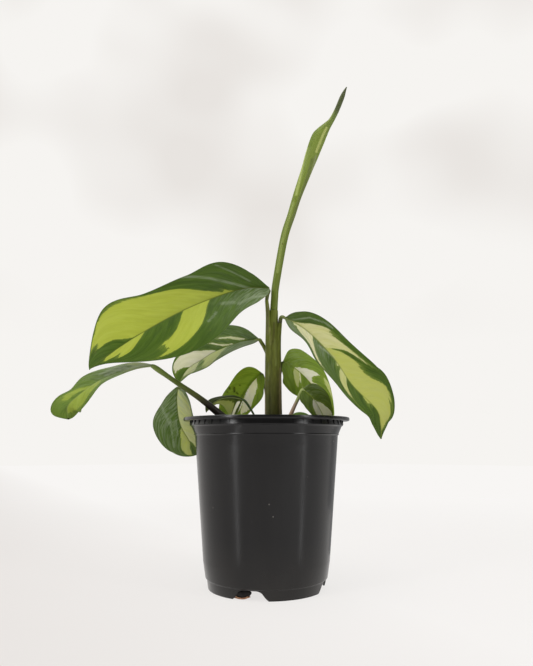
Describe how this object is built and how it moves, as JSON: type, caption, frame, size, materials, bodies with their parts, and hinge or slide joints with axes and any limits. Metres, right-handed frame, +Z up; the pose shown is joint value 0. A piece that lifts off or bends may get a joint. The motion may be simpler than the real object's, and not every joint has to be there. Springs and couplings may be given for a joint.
{
  "type": "potted golden mosaic ctenanthe",
  "caption": "Young potted prayer plant with variegated, arching leaves, a tall leaf that is still rolled, and a tapered black nursery pot filled with potting mix.",
  "frame": {"origin": "on the surface that the pot stands on, in the middle of the pot's base", "axes": "+Z up through the pot, -Y towards the side that the plant shows, +X to the right seen from there"},
  "size_m": [0.3206, 0.165, 0.5114],
  "materials": {
    "pot_plastic": "black injection-moulded polypropylene with a soft gloss",
    "potting_mix": "damp peat and bark potting mix, dark brown and matt",
    "stalk": "smooth olive-green leaf sheaths with fine lengthwise ribs",
    "rolled_leaf": "young leaf still rolled, light green with a soft sheen",
    "leaf": "thin satin leaf, dark green with lime, cream and grey-green patches between fine side veins"
  },
  "bodies": {
    "root": {"pot": "pot_plastic", "soil": "potting_mix", "pseudostem": "stalk", "new_leaf": "rolled_leaf", "upper_left_leaf": "leaf", "mid_left_leaf": "leaf", "lower_left_leaf": "leaf", "hanging_left_leaf": "leaf", "right_leaf": "leaf", "right_inner_leaf": "leaf", "right_front_leaf": "leaf", "left_inner_leaf": "leaf", "small_left_leaf": "leaf", "sprout_leaf": "leaf"}
  },
  "joints": []
}
